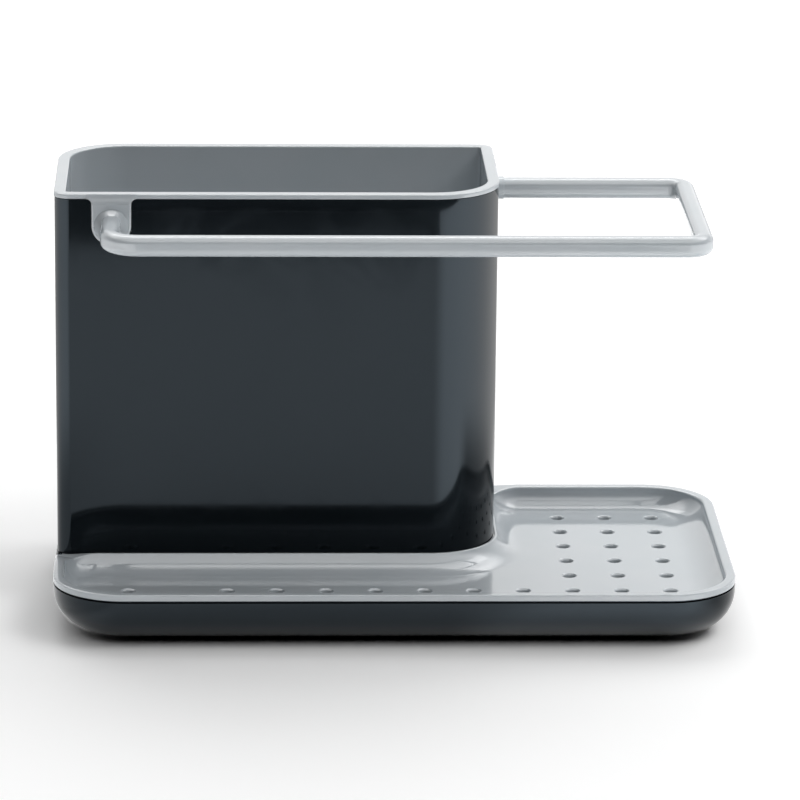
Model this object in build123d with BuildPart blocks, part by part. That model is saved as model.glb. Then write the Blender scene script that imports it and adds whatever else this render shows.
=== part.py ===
from build123d import *
import os

os.makedirs("parts", exist_ok=True)

# A sink caddy in millimetres. X runs along its length, +Y to the back, +Z up.
# The origin is the centre of the footprint, on the surface that it stands on.

# Overall sizes
caddy_length = 205
caddy_depth = 114
plan_corner = 21.5
overrun = 2

# Rubber feet, pushed into shallow recesses of the base
foot_diameter = 12
foot_stand = 1.2
foot_recess = 0.9
foot_edge = 0.4
foot_clearance = 0.1
foot_inset = 24

# Base, an open bowl
seam_height = 15.5
base_wall = 1.6
base_floor = 2.0
base_edge = 12
groove_height = 0.6
groove_depth = 0.6
ledge_width = 2.2
ledge_height = 2.5

# Drip tray, which hangs by its lip on the base
tray_clearance = 0.25
tray_wall = 1.25
tray_floor = 1.8
lip_height = 1.9
lip_edge = 0.5
rim_edge = 0.8
dish_depth = 6.4
dish_cove = 4.3
broad_cove_width = 10
broad_cove_height = 5.2
rim_fall_height = 1.75
rim_fall_length = 18

# The raised foot of the tray round the container
stand_gap = 0.3
bead_height = 0.7
bead_width = 0.8
bead_edge = 0.3
slope_width = 8.4
hollow_width = 5.0

# Drain holes of the tray, in columns and rows that keep their distance from the sides
hole_diameter = 3.2
hole_mouth = 4.6
hole_mouth_angle = 90
hole_columns = 12
hole_rows = 6
block_columns = 3
bare_column = 10
first_column_inset = 22.44
last_column_inset = 19.1
front_row_inset = 24.1
back_row_inset = 15.6

# Container, which leaves a bay of the tray free at the right and a strip in front
bay_width = 71
strip_depth = 46.2
container_top = 126.85
container_wall = 1.8
container_floor = 2.0
container_setback = 0.35
container_edge = 0.6
broad_corner = 20.5
tight_corner = 4.5
least_corner = 0.5
spigot_inset = 9
spigot_wall = 1.8
spigot_height = 4
spigot_clearance = 0.4

# Liner
liner_rim = 1.45
liner_overhang = 0.2
liner_edge = 0.5
liner_foot_edge = 1.2
liner_clearance = 0.25
liner_wall = 1.4
liner_floor = 1.6
liner_lift = 0.4

# Drain holes through the floors of the container and the liner
drain_diameter = 3.6
drain_side_inset = 22
drain_front_inset = 15.9
drain_columns = 6
drain_rows = 3

# Tabs that carry the rail
tab_width = 11.8
tab_sag = 0.8
front_tab_stand = 1.2
rear_tab_stand = 0.4
tab_flare = 1.6
tab_edge = 0.5
tab_clearance = 0.25
front_tab_offset = 17.1
rear_tab_offset = 21.4
rail_drop = 8.8

# Towel rail
rail_width = 5.8
rail_height = 5.6
rail_edge = 2.2
rail_bend = 5.0
elbow_bend = 8.5
rail_reach_front = 28
rail_reach_right = 58.5
collar_diameter = 10.4
collar_base = 0.4
collar_length = 5.0
collar_neck = 4.0
sleeve_wall = 0.3
sleeve_length = 2.6
sleeve_edge = 0.2
peg_diameter = 4
peg_length = 3.2
peg_clearance = 0.05

# Heights that follow from the sizes
base_inside = foot_stand + base_floor
rim_top = seam_height + lip_height
dish_bottom = rim_top - dish_depth
tray_underside = dish_bottom - tray_floor
platform_underside = seam_height - tray_floor
bead_top = seam_height + bead_height
bead_outside = stand_gap + bead_width
cup_underside = seam_height + container_floor + liner_lift
liner_top = container_top + liner_rim
rail_axis = liner_top - rail_drop
tab_axis = rail_axis - tab_sag

# Places that follow from the sizes
left_side = -caddy_length / 2
right_side = caddy_length / 2
front_side = -caddy_depth / 2
back_side = caddy_depth / 2
tray_inset = base_wall + tray_clearance
rim_inset = tray_inset + tray_wall
container_width = caddy_length - bay_width
container_depth = caddy_depth - strip_depth
container_left = left_side + container_setback
container_right = container_left + container_width
container_back = back_side - container_setback
container_front = container_back - container_depth
liner_inset = container_wall + liner_clearance
cup_inset = liner_inset + liner_wall
front_tab_x = container_left + front_tab_offset
rear_tab_y = container_back - rear_tab_offset
rail_front_y = container_front - rail_reach_front
rail_right_x = container_right + rail_reach_right
column_pitch = (caddy_length - first_column_inset - last_column_inset) / (hole_columns - 1)
row_pitch = (caddy_depth - front_row_inset - back_row_inset) / (hole_rows - 1)
drain_column_pitch = (container_width - 2 * drain_side_inset) / (drain_columns - 1)
drain_row_pitch = (container_depth - 2 * drain_front_inset) / (drain_rows - 1)

# The tabs' planes lie on the container's outer faces, with local X level and local Z out of the wall
front_tab = Plane(origin=(front_tab_x, container_front, tab_axis), x_dir=(1, 0, 0), z_dir=(0, -1, 0))
rear_tab = Plane(origin=(container_right, rear_tab_y, tab_axis), x_dir=(0, 1, 0), z_dir=(1, 0, 0))


def draw_base_outline(inset, mode=Mode.ADD):
    """Draws the plan of the base, moved inwards by inset."""
    with BuildLine() as outline:
        FilletPolyline(
            (left_side + inset, front_side + inset),
            (right_side - inset, front_side + inset),
            (right_side - inset, back_side - inset),
            (left_side + inset, back_side - inset),
            radius=plan_corner - inset,
            close=True,
        )
    make_face(outline.edges(), mode=mode)


def draw_container_outline(inset, mode=Mode.ADD):
    """Draws the plan of the container, with two broad corners and two tight ones."""
    tight = max(tight_corner - inset, least_corner)
    broad = max(broad_corner - inset, least_corner)
    with BuildLine() as outline:
        FilletPolyline(
            (container_left + inset, container_front + inset),
            (container_right - inset, container_front + inset),
            (container_right - inset, container_back - inset),
            (container_left + inset, container_back - inset),
            radius=[tight, broad, tight, broad],
            close=True,
        )
    make_face(outline.edges(), mode=mode)


def draw_stand(margin, mode=Mode.ADD):
    """Draws the corner of the plan that the container stands in, with a margin in front and to the right."""
    with BuildLine() as outline:
        FilletPolyline(
            (left_side - overrun, container_front - margin),
            (container_right + margin, container_front - margin),
            (container_right + margin, back_side + overrun),
            (left_side - overrun, back_side + overrun),
            radius=[0, broad_corner + margin, 0, 0],
            close=True,
        )
    make_face(outline.edges(), mode=mode)


def draw_tab(clearance):
    """Draws a tab about its socket: a half circle below, and a flare into the rim above."""
    half = tab_width / 2 + clearance
    flare = tab_flare - clearance
    flare_top = container_top - tab_axis - clearance
    top = liner_top - tab_axis
    with BuildLine() as outline:
        RadiusArc((0, -half), (half, 0), -half)
        Line((half, 0), (half, flare_top - flare))
        TangentArc((half, flare_top - flare), (half + flare, flare_top), tangent=(0, 1))
        Line((half + flare, flare_top), (half + flare, top))
        Line((half + flare, top), (0, top))
        mirror(outline.line, about=Plane.YZ)
    make_face(outline.edges())


# Drain holes of the tray: a front row with one place left bare, and a block behind it at the right
hole_places = []
for row in range(hole_rows):
    for column in range(hole_columns if row == 0 else block_columns):
        if column != bare_column:
            hole_x = right_side - last_column_inset - column * column_pitch
            hole_y = front_side + front_row_inset + row * row_pitch
            hole_places.append((hole_x, hole_y, dish_bottom))

# Floor drains of the container and the liner
drain_places = []
for row in range(drain_rows):
    for column in range(drain_columns):
        drain_x = container_left + drain_side_inset + column * drain_column_pitch
        drain_y = container_front + drain_front_inset + row * drain_row_pitch
        drain_places.append((drain_x, drain_y))

# Base: an open bowl with a rounded underside, a groove under its top edge and four recesses for the feet
with BuildPart() as bowl_hollow:
    with BuildSketch(Plane.XY.offset(base_inside)):
        draw_base_outline(base_wall)
    extrude(amount=seam_height)
    fillet(bowl_hollow.faces().sort_by(Axis.Z)[0].edges(), base_edge - base_wall)

foot_places = {
    "foot_front_left": (left_side + foot_inset, front_side + foot_inset),
    "foot_front_right": (right_side - foot_inset, front_side + foot_inset),
    "foot_rear_left": (left_side + foot_inset, back_side - foot_inset),
    "foot_rear_right": (right_side - foot_inset, back_side - foot_inset),
}

with BuildPart() as base:
    with BuildSketch(Plane.XY.offset(foot_stand)):
        draw_base_outline(0)
    extrude(amount=seam_height - foot_stand)
    fillet(base.faces().sort_by(Axis.Z)[0].edges(), base_edge)
    add(bowl_hollow.part, mode=Mode.SUBTRACT)
    # the ledge along the left and the back carries the tray's platform
    with BuildSketch(Plane.XY.offset(platform_underside)):
        draw_base_outline(base_wall / 2)
        draw_base_outline(base_wall + ledge_width, mode=Mode.SUBTRACT)
        draw_stand(-ledge_width, mode=Mode.INTERSECT)
    extrude(amount=-ledge_height)
    # the groove is the dark line under the tray's lip
    with BuildSketch(Plane.XY.offset(seam_height - groove_height)):
        draw_base_outline(-overrun)
        draw_base_outline(groove_depth, mode=Mode.SUBTRACT)
    extrude(amount=groove_height + overrun, mode=Mode.SUBTRACT)
    with BuildSketch(Plane.XY.offset(foot_stand + foot_recess)):
        with Locations(*foot_places.values()):
            Circle(foot_diameter / 2 + foot_clearance)
    extrude(amount=-foot_recess - overrun, mode=Mode.SUBTRACT)
base.part.label = "base_reservoir"
export_step(base.part, "parts/base_reservoir.step")

# Feet: rubber discs with a softened lower edge
for foot_name, foot_place in foot_places.items():
    with BuildPart() as foot:
        with BuildSketch():
            with Locations(foot_place):
                Circle(foot_diameter / 2)
        extrude(amount=foot_stand + foot_recess)
        fillet(foot.edges().group_by(Axis.Z)[0], foot_edge)
    foot.part.label = foot_name
    export_step(foot.part, f"parts/{foot_name}.step")

# Drip tray: a pan with a rounded underside, which a rounded tool hollows to a dish
with BuildPart() as pan:
    with BuildSketch(Plane.XY.offset(tray_underside)):
        draw_base_outline(tray_inset)
    extrude(amount=rim_top - tray_underside)
    fillet(pan.faces().sort_by(Axis.Z)[0].edges(), dish_cove + tray_wall)

with BuildPart() as dish_tool:
    with BuildSketch(Plane.XY.offset(dish_bottom)):
        draw_base_outline(rim_inset)
    extrude(amount=dish_depth + overrun)
    fillet(dish_tool.faces().sort_by(Axis.Z)[0].edges(), dish_cove)

# The right-hand side of the dish rises in a broad curve
with BuildPart() as broad_cove:
    with BuildSketch(Plane.XZ.offset(-front_side)):
        with BuildLine():
            curve = TangentArc(
                (right_side - rim_inset - broad_cove_width, dish_bottom),
                (right_side - rim_inset, dish_bottom + broad_cove_height),
                tangent=(1, 0),
            )
            Polyline(
                curve @ 1,
                (right_side, dish_bottom + broad_cove_height),
                (right_side, tray_underside),
                (right_side - rim_inset - broad_cove_width, tray_underside),
                curve @ 0,
            )
        make_face()
    extrude(amount=-caddy_depth)
    add(pan.part, mode=Mode.INTERSECT)

# Round the container the tray rises in a curve to a small bead
with BuildPart() as stand_foot:
    with BuildLine():
        foot_path = FilletPolyline(
            (left_side, container_front),
            (container_right, container_front),
            (container_right, back_side),
            radius=broad_corner,
        )
    with BuildSketch(Plane(origin=foot_path @ 0, x_dir=(0, 1, 0), z_dir=(1, 0, 0))) as foot_section:
        with BuildLine():
            slope = TangentArc(
                (-bead_outside - slope_width, dish_bottom), (-bead_outside, bead_top), tangent=(1, 0)
            )
            Polyline(
                slope @ 1,
                (-stand_gap, bead_top),
                (-stand_gap, tray_underside),
                (-bead_outside - slope_width, tray_underside),
                slope @ 0,
            )
        make_face()
        fillet(foot_section.vertices().group_by(Axis.Y)[-1], bead_edge)
    sweep(path=foot_path)
    add(pan.part, mode=Mode.INTERSECT)

# The same rise is hollow beneath
with BuildPart() as foot_hollow:
    with BuildLine():
        hollow_path = FilletPolyline(
            (left_side + rim_inset, container_front),
            (container_right, container_front),
            (container_right, back_side - rim_inset),
            radius=broad_corner,
        )
    with BuildSketch(Plane(origin=hollow_path @ 0, x_dir=(0, 1, 0), z_dir=(1, 0, 0))):
        with BuildLine():
            Polyline(
                (-bead_outside - hollow_width, tray_underside - overrun),
                (-bead_outside - hollow_width, tray_underside),
                (-bead_outside, platform_underside),
                (0, platform_underside),
                (0, tray_underside - overrun),
                close=True,
            )
        make_face()
    sweep(path=hollow_path)

with BuildPart() as tray:
    add(pan.part)
    with BuildSketch(Plane.XY.offset(seam_height)):
        draw_base_outline(0)
    extrude(amount=lip_height)
    add(dish_tool.part, mode=Mode.SUBTRACT)
    fillet(tray.faces().sort_by(Axis.Z)[-1].outer_wire().edges(), lip_edge)
    fillet(tray.faces().sort_by(Axis.Z)[-1].inner_wires()[0].edges(), rim_edge)
    add(broad_cove.part)
    # nothing of the tray's lip stands where the container stands
    with BuildSketch(Plane.XY.offset(seam_height)):
        draw_stand(stand_gap)
    extrude(amount=lip_height + overrun, mode=Mode.SUBTRACT)
    add(stand_foot.part)
    # the platform under the container is a plate, hollow beneath and open in the middle
    with BuildSketch(Plane.XY.offset(platform_underside)):
        draw_base_outline(tray_inset)
        draw_stand(stand_gap + bead_width / 2, mode=Mode.INTERSECT)
    extrude(amount=tray_floor)
    with BuildSketch(Plane.XY.offset(platform_underside)):
        draw_stand(stand_gap)
    extrude(amount=tray_underside - platform_underside - overrun, mode=Mode.SUBTRACT)
    add(foot_hollow.part, mode=Mode.SUBTRACT)
    with BuildSketch(Plane.XY.offset(platform_underside - overrun)):
        draw_container_outline(spigot_inset - spigot_clearance)
    extrude(amount=tray_floor + 2 * overrun, mode=Mode.SUBTRACT)
    # the rim runs down to the container at the left
    with BuildSketch(Plane.YZ.offset(left_side - overrun)):
        with BuildLine():
            fall = TangentArc(
                (container_front - stand_gap - rim_fall_length, rim_top),
                (container_front - stand_gap, rim_top - rim_fall_height),
                tangent=(1, 0),
            )
            Polyline(
                fall @ 1,
                (container_front - stand_gap, rim_top + overrun),
                (container_front - stand_gap - rim_fall_length, rim_top + overrun),
                fall @ 0,
            )
        make_face()
    extrude(amount=rim_inset + overrun, mode=Mode.SUBTRACT)
    with Locations(*hole_places):
        CounterSinkHole(hole_diameter / 2, hole_mouth / 2, counter_sink_angle=hole_mouth_angle)
tray.part.label = "drip_tray"
export_step(tray.part, "parts/drip_tray.step")

# Container: a box with a locating ring under its floor and a notch for each tab
with BuildPart() as container:
    with BuildSketch(Plane.XY.offset(seam_height)):
        draw_container_outline(0)
    extrude(amount=container_top - seam_height)
    fillet(container.faces().sort_by(Axis.Z)[0].edges(), container_edge)
    with BuildSketch(Plane.XY.offset(seam_height + container_floor)):
        draw_container_outline(container_wall)
    extrude(amount=container_top, mode=Mode.SUBTRACT)
    with BuildSketch(Plane.XY.offset(seam_height)):
        draw_container_outline(spigot_inset)
        draw_container_outline(spigot_inset + spigot_wall, mode=Mode.SUBTRACT)
    extrude(amount=-spigot_height)
    for tab_plane in (front_tab, rear_tab):
        with BuildSketch(tab_plane.offset(overrun)):
            draw_tab(tab_clearance)
        extrude(amount=-container_wall - 2 * overrun, mode=Mode.SUBTRACT)
    with BuildSketch(Plane.XY.offset(seam_height)):
        with Locations(*drain_places):
            Circle(drain_diameter / 2)
    extrude(amount=container_floor, mode=Mode.SUBTRACT)
container.part.label = "brush_container"
export_step(container.part, "parts/brush_container.step")

# Liner: a cup with a rim over the container's wall and two tabs with sockets for the rail
with BuildPart() as liner:
    with BuildSketch(Plane.XY.offset(cup_underside)):
        draw_container_outline(liner_inset)
    extrude(amount=liner_top - cup_underside)
    fillet(liner.faces().sort_by(Axis.Z)[0].edges(), liner_foot_edge)
    with BuildSketch(Plane.XY.offset(container_top)):
        draw_container_outline(-liner_overhang)
    extrude(amount=liner_rim)
    with BuildSketch(Plane.XY.offset(cup_underside + liner_floor)):
        draw_container_outline(cup_inset)
    extrude(amount=liner_top, mode=Mode.SUBTRACT)
    fillet(liner.faces().sort_by(Axis.Z)[-1].edges(), liner_edge)
    for tab_plane, tab_stand in ((front_tab, front_tab_stand), (rear_tab, rear_tab_stand)):
        with BuildPart(mode=Mode.PRIVATE) as tab:
            with BuildSketch(tab_plane.offset(tab_stand)):
                draw_tab(0)
            extrude(amount=-tab_stand - liner_inset - liner_wall / 2)
            fillet(tab.faces().sort_by(Axis(tab_plane.origin, tab_plane.z_dir))[-1].edges(), tab_edge)
        add(tab.part)
        with BuildSketch(tab_plane.offset(tab_stand)):
            Circle(peg_diameter / 2 + peg_clearance)
        extrude(amount=-peg_length - peg_clearance, mode=Mode.SUBTRACT)
    with BuildSketch(Plane.XY.offset(cup_underside)):
        with Locations(*drain_places):
            Circle(drain_diameter / 2)
    extrude(amount=liner_floor, mode=Mode.SUBTRACT)
liner.part.label = "container_liner"
export_step(liner.part, "parts/container_liner.step")

# Towel rail: one bar with three bends, a flared collar or a sleeve at its ends and a peg in each tab
outer_bend = rail_bend + rail_width / 2
inner_bend = rail_bend - rail_width / 2
outer_elbow = elbow_bend + rail_width / 2
inner_elbow = elbow_bend - rail_width / 2
front_end = front_tab.offset(front_tab_stand)
rear_end = rear_tab.offset(rear_tab_stand)

with BuildPart() as rail:
    with BuildSketch(Plane.XY.offset(rail_axis - rail_height / 2)):
        with BuildLine():
            FilletPolyline(
                (front_tab_x - rail_width / 2, container_front - front_tab_stand),
                (front_tab_x - rail_width / 2, rail_front_y - rail_width / 2),
                (rail_right_x + rail_width / 2, rail_front_y - rail_width / 2),
                (rail_right_x + rail_width / 2, rear_tab_y + rail_width / 2),
                (container_right + rear_tab_stand, rear_tab_y + rail_width / 2),
                (container_right + rear_tab_stand, rear_tab_y - rail_width / 2),
                (rail_right_x - rail_width / 2, rear_tab_y - rail_width / 2),
                (rail_right_x - rail_width / 2, rail_front_y + rail_width / 2),
                (front_tab_x + rail_width / 2, rail_front_y + rail_width / 2),
                (front_tab_x + rail_width / 2, container_front - front_tab_stand),
                radius=[0, outer_elbow, outer_bend, outer_bend, 0, 0, inner_bend, inner_bend, inner_elbow, 0],
                close=True,
            )
        make_face()
    extrude(amount=rail_height)
    fillet(rail.faces().filter_by(Axis.Z).edges(), rail_edge)
    # the collar is a cone that flares towards the front tab
    across = Plane(origin=front_end.origin, x_dir=front_end.x_dir, z_dir=front_end.x_dir.cross(front_end.z_dir))
    with BuildSketch(across):
        with BuildLine():
            Polyline(
                (collar_neck / 2, collar_base + collar_length),
                (0, collar_base + collar_length),
                (0, 0),
                (collar_diameter / 2, 0),
                (collar_diameter / 2, collar_base),
            )
            TangentArc(
                (collar_neck / 2, collar_base + collar_length),
                (collar_diameter / 2, collar_base),
                tangent=(0, -1),
            )
        make_face()
    revolve(axis=Axis(front_end.origin, front_end.z_dir))
    with BuildPart(mode=Mode.PRIVATE) as sleeve:
        with BuildSketch(rear_end):
            with Locations((0, tab_sag)):
                RectangleRounded(
                    rail_width + 2 * sleeve_wall, rail_height + 2 * sleeve_wall, rail_edge + sleeve_wall
                )
        extrude(amount=sleeve_length)
        fillet(sleeve.faces().sort_by(Axis.X)[-1].edges(), sleeve_edge)
    add(sleeve.part)
    for rail_end in (front_end, rear_end):
        with BuildSketch(rail_end):
            Circle(peg_diameter / 2)
        extrude(amount=-peg_length)
rail.part.label = "towel_rail"
export_step(rail.part, "parts/towel_rail.step")
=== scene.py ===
import math

import bmesh
import bpy
from mathutils import Matrix, Vector


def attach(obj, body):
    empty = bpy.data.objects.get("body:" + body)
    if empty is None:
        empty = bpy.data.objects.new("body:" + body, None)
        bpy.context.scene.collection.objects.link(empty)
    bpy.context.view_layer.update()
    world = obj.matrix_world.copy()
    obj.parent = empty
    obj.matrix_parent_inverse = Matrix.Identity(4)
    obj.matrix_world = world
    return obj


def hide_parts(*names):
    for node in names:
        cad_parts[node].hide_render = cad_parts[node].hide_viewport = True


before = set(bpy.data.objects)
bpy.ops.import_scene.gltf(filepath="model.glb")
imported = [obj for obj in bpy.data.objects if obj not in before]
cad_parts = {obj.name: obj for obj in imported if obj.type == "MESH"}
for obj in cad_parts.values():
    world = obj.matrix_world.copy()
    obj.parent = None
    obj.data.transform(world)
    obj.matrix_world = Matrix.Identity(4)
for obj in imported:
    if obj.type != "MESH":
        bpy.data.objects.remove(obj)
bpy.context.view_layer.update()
print("frame loaded")

mm = 0.001  # sizes below are in millimetres, in the frame's own directions

planSizes = {
    "length": 205,
    "depth": 114,
    "corner": 21.5,
    "seam": 15.5,  # height of the base's top edge
    "containerLeft": -102.15,
    "containerRight": 31.85,
    "containerFront": -11.15,
    "containerBack": 56.65,
    "containerTop": 126.85,
    "broadCorner": 20.5,
    "tightCorner": 4.5,
    "sharpest": 0.5,  # no inset corner gets a smaller radius
    "cornerSteps": 28,
    "railHeight": 119.5,
    "tabHeight": 118.7,  # the centre of a tab's round end
    "frontTab": -85.05,  # X of the front tab
    "rearTab": 35.25,  # Y of the right-hand tab
}
left, right = -planSizes["length"] / 2, planSizes["length"] / 2
front, back = -planSizes["depth"] / 2, planSizes["depth"] / 2
seam = planSizes["seam"]
containerTop = planSizes["containerTop"]


# outlines and profiles

def onCircle(centre, radius, angle):
    return (centre[0] + radius * math.cos(angle), centre[1] + radius * math.sin(angle))


def arcProfile(centre, radius, start, end, steps):
    angles = [math.radians(start + (end - start) * step / steps) for step in range(steps + 1)]
    return [onCircle(centre, radius, angle) for angle in angles]


def circleOutline(centre, radius, count):
    turn = 2 * math.pi / count
    return [onCircle(centre, radius, i * turn) for i in range(count)]


def rectOutline(low, high, radii, steps):
    frontLeft, frontRight, backRight, backLeft = radii
    points = arcProfile((low[0] + frontLeft, low[1] + frontLeft), frontLeft, 180, 270, steps)
    points += arcProfile((high[0] - frontRight, low[1] + frontRight), frontRight, 270, 360, steps)
    points += arcProfile((high[0] - backRight, high[1] - backRight), backRight, 0, 90, steps)
    points += arcProfile((low[0] + backLeft, high[1] - backLeft), backLeft, 90, 180, steps)
    return points


def baseOutline(inset):
    low, high = (left + inset, front + inset), (right - inset, back - inset)
    return rectOutline(low, high, [planSizes["corner"] - inset] * 4, planSizes["cornerSteps"])


def containerOutline(inset):
    low = (planSizes["containerLeft"] + inset, planSizes["containerFront"] + inset)
    high = (planSizes["containerRight"] - inset, planSizes["containerBack"] - inset)
    tight = max(planSizes["tightCorner"] - inset, planSizes["sharpest"])
    broad = max(planSizes["broadCorner"] - inset, planSizes["sharpest"])
    return rectOutline(low, high, [tight, broad, tight, broad], planSizes["cornerSteps"])


def atHeight(outline, height):
    return [(x, y, height) for x, y in outline]


def ease(share):
    share = min(max(share, 0), 1)
    return share * share * (3 - 2 * share)


def between(first, second, share):
    return tuple(a + (b - a) * share for a, b in zip(first, second))


# meshes

def loopEdges(bm, ring):
    return [bm.edges.get((ring[i - 1], ring[i])) for i in range(len(ring))]


def growRing(bm, ring, points):
    made = bmesh.ops.extrude_edge_only(bm, edges=loopEdges(bm, ring))["geom"]
    fresh = {item for item in made if isinstance(item, bmesh.types.BMVert)}
    grown = []
    for vert, point in zip(ring, points):
        others = [edge.other_vert(vert) for edge in vert.link_edges]
        twin = next(other for other in others if other in fresh)
        twin.co = Vector(point) * mm
        grown.append(twin)
    return grown


def loftSections(bm, sections, start=None):
    if start is None:
        start = [bm.verts.new(Vector(point) * mm) for point in sections[0]]
        for i in range(len(start)):
            bm.edges.new((start[i - 1], start[i]))
    rings = [start]
    for section in sections[1:]:
        rings.append(growRing(bm, rings[-1], section))
    return rings


def loftRings(bm, outlineAt, profile):
    return loftSections(bm, [atHeight(outlineAt(inset), height) for inset, height in profile])


def turnProfile(bm, profile, centre, side, axis, steps):
    centre, side, axis = Vector(centre), Vector(side), Vector(axis)
    chain = [bm.verts.new((centre + side * radius + axis * along) * mm) for radius, along in profile]
    edges = [bm.edges.new(pair) for pair in zip(chain, chain[1:])]
    bmesh.ops.spin(
        bm, geom=chain + edges, cent=centre * mm, axis=axis, angle=2 * math.pi,
        steps=steps, use_merge=True, use_duplicate=False,
    )
    bmesh.ops.holes_fill(bm, edges=[edge for edge in bm.edges if edge.is_boundary])


def fillLoops(bm, rings, normal):
    edges = []
    for ring in rings:
        edges += loopEdges(bm, ring)
    bmesh.ops.triangle_fill(bm, use_beauty=True, use_dissolve=False, edges=edges, normal=normal)


def roundLoop(bm, ring, offset, segments):
    bmesh.ops.bevel(
        bm, geom=loopEdges(bm, ring), offset=offset * mm, offset_type="OFFSET",
        segments=segments, profile=0.5, affect="EDGES", material=-1,
    )


def addObject(name, data):
    made = bpy.data.objects.new(name, data)
    bpy.context.scene.collection.objects.link(made)
    return made


def meshObject(name, bm):
    mesh = bpy.data.meshes.new(name)
    bm.to_mesh(mesh)
    bm.free()
    return addObject(name, mesh)


def makePiece(name, bm, body, node, finish, sharpAngle=35):
    bmesh.ops.recalc_face_normals(bm, faces=bm.faces)
    for face in bm.faces:
        face.smooth = True
    for edge in bm.edges:
        if len(edge.link_faces) == 2:
            edge.smooth = edge.calc_face_angle(0) < math.radians(sharpAngle)
    piece = meshObject(name, bm)
    piece.data.materials.append(finishes[finish])
    weighted = piece.modifiers.new("evenNormals", "WEIGHTED_NORMAL")
    weighted.mode = "FACE_AREA"
    weighted.keep_sharp = True
    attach(piece, body)
    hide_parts(node)
    return piece


def cutPiece(piece, cutter):
    boolean = piece.modifiers.new("cut", "BOOLEAN")
    boolean.operation = "DIFFERENCE"
    boolean.solver = "EXACT"
    boolean.object = cutter
    bpy.context.view_layer.objects.active = piece
    while piece.modifiers[0] != boolean:
        bpy.ops.object.modifier_move_up(modifier=boolean.name)
    bpy.ops.object.modifier_apply(modifier=boolean.name)
    bpy.data.objects.remove(cutter)


# materials

def newGroup(name, inputs, outputs):
    group = bpy.data.node_groups.new(name, "ShaderNodeTree")
    for socketName, value in inputs.items():
        socket = group.interface.new_socket(socketName, in_out="INPUT", socket_type="NodeSocketFloat")
        socket.default_value = value
    for socketName in outputs:
        group.interface.new_socket(socketName, in_out="OUTPUT", socket_type="NodeSocketFloat")
    return group, group.nodes.new("NodeGroupInput"), group.nodes.new("NodeGroupOutput")


def addNode(tree, kind, settings=None, values=None):
    node = tree.nodes.new(kind)
    for key, value in (settings or {}).items():
        setattr(node, key, value)
    for key, value in (values or {}).items():
        node.inputs[key].default_value = value
    return node


def mapRange(source, before, after):
    values = {1: before[0], 2: before[1], 3: after[0], 4: after[1]}
    tree = source.id_data
    node = addNode(tree, "ShaderNodeMapRange", {"interpolation_type": "SMOOTHSTEP"}, values)
    tree.links.new(source, node.inputs[0])
    return node.outputs[0]


skinLook = {
    "waveScale": 60,
    "grainScale": 2600,
    "smearScale": 45,
    "smearTwist": 1.2,
    "grainHeight": 0.06,  # beside the waves' height of 1
    "smearRange": (0.35, 0.75),
    "waveRange": (0.3, 0.7),
}

# a moulded skin: faint flow waves, fine grain and a few cleaning smears
skinScales = {
    "Wave Scale": skinLook["waveScale"],
    "Grain Scale": skinLook["grainScale"],
    "Smear Scale": skinLook["smearScale"],
}
skinGroup, skinIn, skinOut = newGroup("mouldedSkin", skinScales, ["Height", "Rough", "Tint"])
coords = addNode(skinGroup, "ShaderNodeTexCoord")
waves = addNode(skinGroup, "ShaderNodeTexNoise", None, {"Detail": 1.0, "Roughness": 0.4})
grain = addNode(skinGroup, "ShaderNodeTexNoise", None, {"Detail": 2.0, "Roughness": 0.5})
smears = addNode(
    skinGroup, "ShaderNodeTexNoise", None,
    {"Detail": 3.0, "Roughness": 0.55, "Distortion": skinLook["smearTwist"]},
)
heightSum = addNode(skinGroup, "ShaderNodeMath", {"operation": "MULTIPLY_ADD"}, {1: skinLook["grainHeight"]})
for node, socketName in zip((waves, grain, smears), skinScales):
    skinGroup.links.new(coords.outputs["Object"], node.inputs["Vector"])
    skinGroup.links.new(skinIn.outputs[socketName], node.inputs["Scale"])
skinGroup.links.new(grain.outputs[0], heightSum.inputs[0])
skinGroup.links.new(waves.outputs[0], heightSum.inputs[2])
skinGroup.links.new(heightSum.outputs[0], skinOut.inputs["Height"])
skinGroup.links.new(mapRange(smears.outputs[0], skinLook["smearRange"], (0.0, 1.0)), skinOut.inputs["Rough"])
skinGroup.links.new(mapRange(waves.outputs[0], skinLook["waveRange"], (0.0, 1.0)), skinOut.inputs["Tint"])


def skinMaterial(name, look):
    material = bpy.data.materials.new(name)
    material.use_nodes = True
    tree = material.node_tree
    shader = tree.nodes["Principled BSDF"]
    skin = addNode(tree, "ShaderNodeGroup", {"node_tree": skinGroup}, {"Grain Scale": look["grain"]})
    colors = {6: (*look["color"], 1), 7: (*look["tint"], 1)}
    mix = addNode(tree, "ShaderNodeMix", {"data_type": "RGBA"}, colors)
    bump = addNode(tree, "ShaderNodeBump", None, {"Strength": look["bump"], "Distance": look["bumpDepth"]})
    roughness = mapRange(skin.outputs["Rough"], (0, 1), (look["rough"], look["rough"] + look["smear"]))
    tree.links.new(skin.outputs[look["tintFrom"]], mix.inputs[0])
    tree.links.new(mix.outputs[2], shader.inputs["Base Color"])
    tree.links.new(roughness, shader.inputs["Roughness"])
    tree.links.new(skin.outputs["Height"], bump.inputs["Height"])
    tree.links.new(bump.outputs[0], shader.inputs["Normal"])
    shader.inputs["IOR"].default_value = look["ior"]
    shader.inputs["Specular Tint"].default_value = (*look["sheen"], 1)
    return material


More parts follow.
